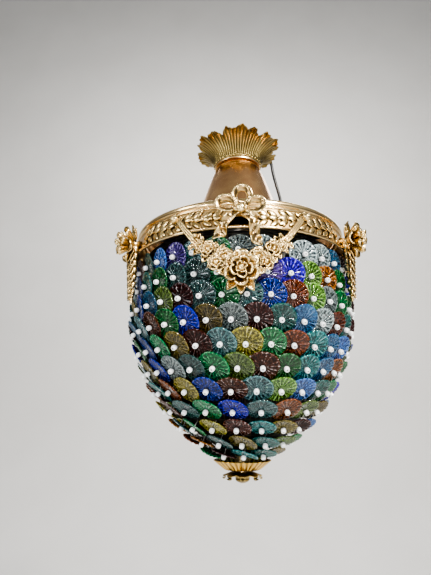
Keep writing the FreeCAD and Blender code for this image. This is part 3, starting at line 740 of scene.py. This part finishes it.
def laurel():
    """Two branches of leaves and berries from each rose towards the bows beside it."""
    leaves = Pile()
    middle = (BAND_TOP_Z + BAND_FOOT_Z) / 2
    pairs = 10
    for rose in SIXTHS:
        for way in (-1, 1):
            stem = []
            for k in range(pairs):
                here = rose + way * (5 + 4.75 * k)
                z = middle + 1.2 * math.sin(1.3 * k)
                stem.append(on_band(here, 0, z, 0.7))
                heading = 0 if way > 0 else 180
                for tilt, size, shift, lift in SPRAY:
                    size *= DRAW.uniform(0.9, 1.08)
                    turn = heading + way * tilt + DRAW.uniform(-6, 6)
                    band_leaf(leaves, here, z + shift, turn, size, 7.0, lift)
                if k % 2:
                    for side in (-1, 1):
                        berry = on_band(here, way * 6.5, z + side * 9.0, 0.8)
                        leaves.ball(berry, 1.7, 1.0, at(here, 1, 0), 8)
            leaves.tube(curve_through(stem, 3), 1.0, 6)
    make("laurel_leaves", leaves, CAST, "lamp_frame", thickness=0.5)
    edges = Pile()
    for z, size in ((BAND_FOOT_Z + 1.3, 1.5), (BAND_TOP_Z - 1.2, 1.2)):
        r = band_r(z) + 0.3
        turns = np.linspace(0, 2 * math.pi, 10)[:-1]
        spin(edges, [(r + size * math.cos(b), z + size * math.sin(b)) for b in turns], 192, closed=True)
    make("band_edges", edges, GILT, "lamp_frame")


def neck_beading():
    """The beaded ring round the crown's base."""
    ring = Pile()
    low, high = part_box("crown_bead_ring")
    r, z = high.x / MM - 2.1, (low.z + high.z) / 2 / MM
    count = 38
    for k in range(count):
        ring.ball(at(360 * k / count, r, z), 2.0, 0.85, (0, 0, 1), 10)
    hoop = [(r - 0.6 + 1.1 * math.cos(b), z + 1.5 * math.sin(b)) for b in np.linspace(0, 2 * math.pi, 9)[:-1]]
    spin(ring, hoop, 120, closed=True)
    make("beaded_ring", ring, ANTIQUE, "lamp_frame", ["crown_bead_ring"])


CROWN_PHASE = math.radians(5)
CROWN_LOBES = 6
CROWN_LINE = curve_through([
    (30.2, 0.4), (31.4, 4), (34.2, 9.5), (39, 16), (45.2, 22), (52.2, 26.5), (57.7, 28.4), (62.8, 28.2),
], 4)


def crown():
    """A cup of six ruffled, finely fluted leaf lobes that spread and curl at their edges."""
    cup = Pile()
    columns, rows = 504, 30
    points, marks = [], []
    for i in range(rows):
        v = i / (rows - 1)
        row = []
        for k in range(columns):
            a = 2 * math.pi * k / columns
            lobe = a - CROWN_PHASE
            share = abs(math.cos(CROWN_LOBES / 2 * lobe))
            ragged = 0.03 * abs(math.sin(CROWN_LOBES * 3.5 * lobe)) + 0.015 * math.sin(31 * a)
            w = v * (0.76 + 0.22 * share ** 0.6 + ragged * v)
            place = min(w, 1.0) * (len(CROWN_LINE) - 1)
            r = np.interp(place, range(len(CROWN_LINE)), CROWN_LINE[:, 0])
            z = np.interp(place, range(len(CROWN_LINE)), CROWN_LINE[:, 1])
            wave = math.sin(CROWN_LOBES * 11 * lobe)
            flute = 0.9 * wave * min(1, 4 * v) * (0.6 + 0.4 * v)
            # The mark paints shade in the flutes and a highlight along the lobes' outer edges.
            marks.append(max(0.5 + 0.5 * wave, 2.2 * (v - 0.62)))
            ruffle = math.cos(CROWN_LOBES * 3 * lobe) * v ** 3
            r += flute + 1.8 * ruffle - 2.5 * (1 - share) * v ** 2
            z += CROWN_FLOOR_Z + 1.8 * ruffle + 1.0 * math.sin(CROWN_LOBES * 5 * lobe) * v ** 4
            row.append((r * math.sin(a), -r * math.cos(a), z))
        points.append(row)
    cup.grid(points, round_v=True, marks=np.clip(marks, 0, 1))
    spin(cup, [(30.2, CROWN_FLOOR_Z + 0.4), (24, CROWN_FLOOR_Z + 0.8), (10.6, CROWN_FLOOR_Z + 0.8)], columns)
    make("leaf_crown", cup, ANTIQUE, "lamp_frame", ["crown_cup"], thickness=1.1)


def bottom():
    """The ribbed cup, the scalloped rosette with curled lobes and the finial."""
    cup = Pile()
    line = [(5.4, CUP_FOOT_Z + 0.4), (14, CUP_FOOT_Z), (20.5, CUP_FOOT_Z + 0.2), (24, CUP_FOOT_Z + 2.4),
            (29, CUP_FOOT_Z + 6.2), (33.8, CUP_FOOT_Z + 10.0), (34.8, CUP_FOOT_Z + 10.8)]
    spin(cup, curve_through(line, 3), 192, lambda a, s: 0.7 * math.sin(32 * a) * min(1, 2 * s))
    make("ribbed_cup", cup, GOLDEN, "basket", ["bottom_cup"], thickness=1.0)
    rosette = Pile()
    top = foot_of("bottom_rosette") + 6.0
    points = []
    for i in range(14):
        v = i / 13
        row = []
        for k in range(192):
            a = 2 * math.pi * k / 192
            share = abs(math.cos(4 * a))
            r = 6 + (13.0 + 4.6 * share) * v + 0.5 * math.sin(64 * a) * v
            z = top - 1.2 * v - 5.2 * v ** 2.2 * (0.45 + 0.55 * share) + 1.6 * v ** 6 * share
            row.append((r * math.sin(a), -r * math.cos(a), z))
        points.append(row)
    rosette.grid(points, round_v=True)
    for k in range(8):
        azimuth = 45 * k
        curl = [
            at(azimuth, 22.6 + 1.9 * math.cos(b), top - 6.6 + 1.9 * math.sin(b))
            for b in np.linspace(1.2, 6.0, 9)
        ]
        rosette.ribbon(curl, [at(azimuth + 90, 1, 0)] * 9, 6.0)
    make("leaf_rosette", rosette, ANTIQUE, "basket", ["bottom_rosette"], thickness=0.9)
    nut = Pile()
    low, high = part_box("finial_nut")
    z0, z1 = low.z / MM, high.z / MM
    outline = [
        (7.8, z1), (10.0, z1), (10.3, z1 - 1.5), (9.9, z1 - 3.6), (8.4, z1 - 5.6), (8.6, z1 - 7.2),
        (7.4, z1 - 8.8), (4.8, z1 - 10.3), (2.0, z0 + 0.3), (0.05, z0),
    ]
    spin(nut, curve_through(outline, 3), 72)
    make("finial", nut, ANTIQUE, "finial", ["finial_nut"], thickness=0.6)


# ------------------------------------------------------------------- ornaments


def loop_ribbon(pile, knot, centre, wide, tall, lean, width):
    """A ribbon loop: a broad strip round an oval, open like a funnel towards the front."""
    steps = 30
    line, across = [], []
    start = math.atan2(knot[2] - centre[2], knot[0] - centre[0])
    for k in range(steps + 1):
        a = start + 2 * math.pi * k / steps
        dx, dz = wide * math.cos(a), tall * math.sin(a)
        x = dx * math.cos(lean) - dz * math.sin(lean)
        z = dx * math.sin(lean) + dz * math.cos(lean)
        away = unit(np.array((x, 0, z)))
        near = (0.5 + 0.5 * math.cos(a - start)) ** 4
        line.append(centre + np.array((x, 0, z)) * (1 - 0.25 * near) + (knot - centre) * 0.2 * near)
        across.append(away * 0.9 + np.array((0, -1.0, 0)) * 0.55)
    nearness = [0.5 + 0.5 * math.cos(2 * math.pi * k / steps) for k in range(steps + 1)]
    pile.ribbon(line, across, [width * (1 - 0.45 * near ** 3) for near in nearness])


# Each loop's centre, half width, half height and lean, then each tail's foot, width and bend.
BOW_LOOPS = (
    ((-14.5, -150.5, -190.5), 9.0, 7.4, -14),
    ((16.0, -151.0, -192.5), 8.8, 7.0, 12),
    ((2.0, -150.0, -181.0), 8.2, 9.4, -6),
)
BOW_TAILS = (((-29.0, -149.5, -231.0), 14.0, -3.5), ((22.0, -151.0, -240.0), 15.0, 4.0))


def bows():
    ribbons = Pile()
    for azimuth in THIRDS:
        one = Pile()
        knot = np.array((0.5, -149.5, -197.0))
        for centre, wide, tall, lean in BOW_LOOPS:
            loop_ribbon(one, knot, np.array(centre), wide, tall, math.radians(lean), 8.2)
        one.ball(knot + (0, -2.6, 0), 5.4, 0.8, (0, -1, 0), 14)
        for side in (-1, 1):
            one.ball(knot + (side * 4.8, -1.6, side * 0.8), 3.0, 1.0, (0, -1, 0), 12)
        for foot, width, bend in BOW_TAILS:
            foot = np.array(foot)
            line = curve_through([
                knot + (0, 0.5, -1),
                knot * 0.72 + foot * 0.28 + (bend, -3.0, 0),
                knot * 0.5 + foot * 0.5 + (bend * 0.8, -1.0, 0),
                knot * 0.25 + foot * 0.75 + (-bend * 0.4, 1.5, 0),
                foot,
            ], 6)
            run = unit(foot - knot)
            side = np.cross(run, (0, 1, 0))
            shares = np.linspace(0, 1, len(line))
            folds = [side + np.array((0, -0.7 * math.sin(15 * s), 0)) for s in shares]
            taper = np.clip((1.02 - shares) / 0.2, 0.12, 1)
            one.ribbon(line, folds, width * (0.6 + 0.5 * shares) * taper)
        ribbons.add(turned(np.concatenate(one.verts), azimuth), one.faces, np.concatenate(one.marks))
    make("bows", ribbons, RIBBON, "lamp_frame", ["ribbon_bows"], thickness=1.4, smooth=1)


def blossom(pile, centre, facing, radius, rng, tiers=3):
    """A full-blown rose: tiers of broad cupped petals round a bud."""
    for tier in range(tiers):
        count = 6 - tier if tiers > 2 else 5
        size = radius * (1 - 0.27 * tier)
        for k in range(count):
            turn = 360 * k / count + 31 * tier + rng.uniform(-7, 7)
            start = centre + facing * (0.10 * radius * tier)
            tilt = 6 + 17 * tier + rng.uniform(-4, 4)
            fan(pile, start, facing, turn, tilt, size, 205 / count, 0.36, 0.05 * radius)
    pile.ball(centre + facing * radius * 0.22, radius * 0.30, 0.9, facing, 12)


SWAG_REACH = 28.0


def swag_place(t, lift=0.0):
    """A point of the garland's middle line; t runs from -1 to 1 between its knobs."""
    return at(SWAG_REACH * t, 154.5 - 8.5 * t * t + lift, -264 + 64 * abs(t) ** 1.6)


def swag_stem(pile, side):
    """The fluted leaf stem from a knob down to the flowers."""
    shares = np.linspace(1.0, 0.40, 18)
    line = np.array([swag_place(side * t, 0.6) for t in shares])
    ahead = np.gradient(line, axis=0)
    across = [np.cross(unit(d), unit(p * (1, 1, 0))) for d, p in zip(ahead, line)]
    pile.ribbon(line, across, 5.0 + 9.0 * (1 - shares))
    for offset in (-0.32, 0.0, 0.32):
        ridge = [
            p + unit(c) * offset * (5.0 + 9.0 * (1 - t)) + unit(p * (1, 1, 0)) * 1.2
            for p, c, t in zip(line, across, shares)
        ]
        pile.tube(ridge, 1.1, 6)


def swags():
    rng = random.Random(5)
    garland = Pile()
    for azimuth in THIRDS:
        one = Pile()
        for side in (-1, 1):
            swag_stem(one, side)
            for t, drop, size in ((0.22, 4, 10.0), (0.33, -6, 9.0), (0.44, 3, 9.0), (0.56, -1, 7.0)):
                facing = unit(at(SWAG_REACH * side * t, 1, -0.12))
                centre = swag_place(side * t, 3.0) + (0, 0, drop)
                blossom(one, centre, facing, size, rng, 2)
            for k in range(9):
                t = side * (0.12 + 0.065 * k)
                facing = unit(at(SWAG_REACH * t, 1, 0))
                for low, high in ((10, 60), (130, 175), (185, 235), (300, 350)):
                    turn = rng.uniform(low, high)
                    length = rng.uniform(11, 15) * (1.1 - 0.5 * abs(t))
                    start = swag_place(t, rng.uniform(-0.5, 1.5))
                    tilt = rng.uniform(4, 18)
                    one.petal(start, facing, turn, tilt, length, length * 0.6, 0.3, 2.0, True, 0.5)
                berry = swag_place(t, 4.6) + (0, 0, rng.uniform(-7, 7))
                one.ball(berry, rng.uniform(1.4, 2.1), 1.0, facing, 8)
        front = unit(at(0, 1, -0.15))
        for turn in (150, 182, 215, 60, 95, -60, -95):
            one.petal(at(0, 153.5, -267), front, turn, 7, 23.0, 11.0, 0.25, 3.0, True, 0.7)
        blossom(one, at(0, 156.5, -266), front, 18.5, rng, 3)
        garland.add(turned(np.concatenate(one.verts), azimuth), one.faces)
    make("garlands", garland, CAST, "lamp_frame", ["rose_swags"], thickness=1.2)


def knobs():
    pile = Pile()
    for middle in THIRDS:
        for side in (-30, 30):
            azimuth = middle + side
            out = at(azimuth, 1, 0)
            face = band_r(KNOB_Z)
            pile.ball(at(azimuth, face + 6.6, KNOB_Z), 4.4, 1.0, out, 16)
            pile.tube([at(azimuth, face + d, KNOB_Z) for d in (0.5, 2.5, 4.5)], (3.6, 2.2, 2.4), 12)
            for k in range(6):
                pile.petal(at(azimuth, face + 2.2, KNOB_Z), out, 60 * k, 10, 7.0, 4.4, 0.3, 1.5, True)
    make("knobs", pile, CAST, "lamp_frame", ["swag_knobs"], thickness=0.6)


# Each tier's petals: their count, tilt, length, half angle and rise along the stalk.
ROSE_TIERS = ((5, 20, 21.5, 31, 2.5), (5, 44, 19.5, 29, 5.0), (4, 66, 14.0, 34, 8.0))


def roses():
    """Open flowers that stand out from the band on a stalk, with thick cupped petals."""
    rng = random.Random(9)
    pile = Pile()
    for azimuth in SIXTHS:
        facing = unit(at(azimuth, 1, -0.10))
        root = at(azimuth, 149.5, STALK_Z)
        pile.tube([at(azimuth, band_r(STALK_Z), STALK_Z), root, root + facing * 8], (5.0, 3.6, 5.0), 12)
        for count, tilt, length, half_angle, rise in ROSE_TIERS:
            for k in range(count):
                turn = 360 * k / count + 17 * rise + rng.uniform(-7, 7)
                lean = tilt + rng.uniform(-7, 7)
                fan(pile, root + facing * rise, facing, turn, lean, length, half_angle, 0.36, 0.8, 2.0)
        pile.ball(root + facing * 12.5, 4.2, 1.2, facing, 12)
        side = unit(np.cross(facing, (0, 0, 1)))
        over = np.cross(facing, side)
        for k in range(9):
            a = math.radians(40 * k)
            tip = root + facing * 16.0 + 3.0 * (math.cos(a) * side + math.sin(a) * over)
            pile.ball(tip, 1.0, 1.0, facing, 6)
    make("roses", pile, CAST, "lamp_frame", ["standing_roses"], thickness=1.5)


def leaves_and_drops():
    standing, hanging = Pile(), Pile()
    for azimuth in SIXTHS:
        facing = at(azimuth, 1, 0)
        foot = at(azimuth, 149.0, -201)
        for turn, length, width in ((0, 21, 16), (-40, 17, 11), (40, 17, 11)):
            standing.petal(foot, facing, turn, 8, length, width, 0.24, 0.0, True, 0.9)
        for k in range(7):
            share = k / 6
            root = at(azimuth, 150.0, -213 - 9.0 * k)
            length, width = 20 - 7.5 * share, 17 - 8 * share
            hanging.ball(root, width * 0.42, 0.8, facing, 10)
            hanging.petal(root, facing, 180, 16, length, width, 0.34, 0.0, True, 0.8)
            for side in (-1, 1):
                turn = 180 + side * 48
                hanging.petal(root, facing, turn, 14, length * 0.8, width * 0.7, 0.38, 1.0, True, 0.6)
                beside = side * unit(np.cross(facing, (0, 0, 1))) * width * 0.32
                hanging.ball(root + facing * 3.4 + beside, 1.9 - 0.6 * share, 1.0, facing, 8)
        for z, size in ((-272, 2.8), (-276.5, 2.2), (-279.5, 1.6)):
            hanging.ball(at(azimuth, 150.8, z), size, 1.0, facing, 10)
    make("standing_leaves", standing, CAST, "lamp_frame", ["upright_leaves"], thickness=1.3)
    make("drops", hanging, CAST, "lamp_frame", ["leaf_drops"], thickness=1.2)


# --------------------------------------------------------------- CAD finishes

FINISH = {
    RECESS: ["laurel_band"],
    TURNED: [
        "ornament_screws", "neck_plate", "hanging_loop", "swivel_housing", "bottom_spacer",
        "bottom_collar", "finial_bush",
    ],
    WIRE: [
        "frame_spider", "stem_tube", "holder_plate", "basket_ring", "basket_hoops", "basket_ribs",
        "disc_pins",
    ],
    MESH: ["basket_liner"],
    BLACK: ["cord_grip", "lampholder_1", "lampholder_2", "lampholder_3", "inner_wires"],
    OPAL: ["bulb_glass_1", "bulb_glass_2", "bulb_glass_3"],
    CAP: ["bulb_base_1", "bulb_base_2", "bulb_base_3"],
}


def finish_cad_nodes():
    for material, names in FINISH.items():
        for name in names:
            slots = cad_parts[name].data.materials
            slots.clear()
            slots.append(material)


# ------------------------------------------------------------- stage and light


def stage():
    """A pale floor that curves up into a backdrop well behind the lamp."""
    material, nodes, links, shader = node_tree("pale_paper")
    cloud = noise_of(nodes, links, 3.0)
    paint = ramp_of(nodes, links, cloud, (0.74, 0.72, 0.69), (0.78, 0.76, 0.73))
    links.new(paint, shader.inputs["Base Color"])
    shader.inputs["Roughness"].default_value = 0.9
    floor_z, back_y, radius = -1.25, 2.4, 0.9
    line = [(-4.0, floor_z)]
    for b in np.linspace(0, math.pi / 2, 12):
        line.append((back_y - radius + radius * math.sin(b), floor_z + radius - radius * math.cos(b)))
    line.append((back_y, 4.0))
    mesh = bpy.data.meshes.new("backdrop")
    verts = [(x, y, z) for y, z in line for x in (-5.0, 5.0)]
    faces = [(2 * i, 2 * i + 1, 2 * i + 3, 2 * i + 2) for i in range(len(line) - 1)]
    mesh.from_pydata(verts, [], faces)
    mesh.polygons.foreach_set("use_smooth", [True] * len(mesh.polygons))
    mesh.materials.append(material)
    backdrop = bpy.data.objects.new("backdrop", mesh)
    bpy.context.scene.collection.objects.link(backdrop)


def area_light(name, place, aim, size, power, colour=(1, 1, 1)):
    data = bpy.data.lights.new(name, "AREA")
    data.shape = "RECTANGLE"
    data.size, data.size_y = size
    data.energy = power
    data.color = colour
    lamp = bpy.data.objects.new(name, data)
    lamp.location = place
    lamp.rotation_euler = (Vector(aim) - Vector(place)).to_track_quat("-Z", "Y").to_euler()
    bpy.context.scene.collection.objects.link(lamp)


def lights():
    """A sky that is bright above and dim below, a hard key light and soft fills."""
    world = bpy.data.worlds.new("studio")
    world.use_nodes = True
    nodes, links = world.node_tree.nodes, world.node_tree.links
    where = nodes.new("ShaderNodeTexCoord")
    split = nodes.new("ShaderNodeSeparateXYZ")
    links.new(where.outputs["Generated"], split.inputs["Vector"])
    height = nodes.new("ShaderNodeMapRange")
    height.inputs["From Min"].default_value = -1.0
    links.new(split.outputs["Z"], height.inputs["Value"])
    sky = ramp_of(nodes, links, height.outputs["Result"], (0.10, 0.10, 0.11), (0.90, 0.95, 1.0), 0.35, 0.75)
    links.new(sky, nodes["Background"].inputs["Color"])
    nodes["Background"].inputs["Strength"].default_value = 0.32
    bpy.context.scene.world = world
    bpy.context.scene.view_settings.look = "AgX - Medium High Contrast"
    middle = (0, 0, -0.25)
    area_light("key", (1.0, -1.5, 1.0), middle, (0.3, 0.3), 90, (1.0, 0.97, 0.92))
    area_light("fill", (-1.5, -1.1, 0.5), middle, (0.5, 0.9), 19, (0.92, 0.96, 1.0))
    glints = ((0.1, -1.6, 0.15), (-0.9, -1.4, -0.2), (0.75, -1.3, -0.55), (-0.2, -1.7, -0.6))
    for k, place in enumerate(glints):
        area_light("glint_%d" % k, place, middle, (0.08, 0.08), 5)
    area_light("back", (0.3, 1.5, 0.9), middle, (1.4, 0.6), 14)
    area_light("low", (0.3, -1.3, -0.9), middle, (1.2, 0.4), 5)
    area_light("paper", (0.0, 0.9, 1.6), (0.0, 2.4, 0.3), (2.0, 0.6), 30)


flex()
glass_basket()
lid_and_rim()
laurel()
neck_beading()
crown()
bottom()
bows()
swags()
knobs()
roses()
leaves_and_drops()
finish_cad_nodes()
stage()
lights()

bpy.context.view_layer.update()
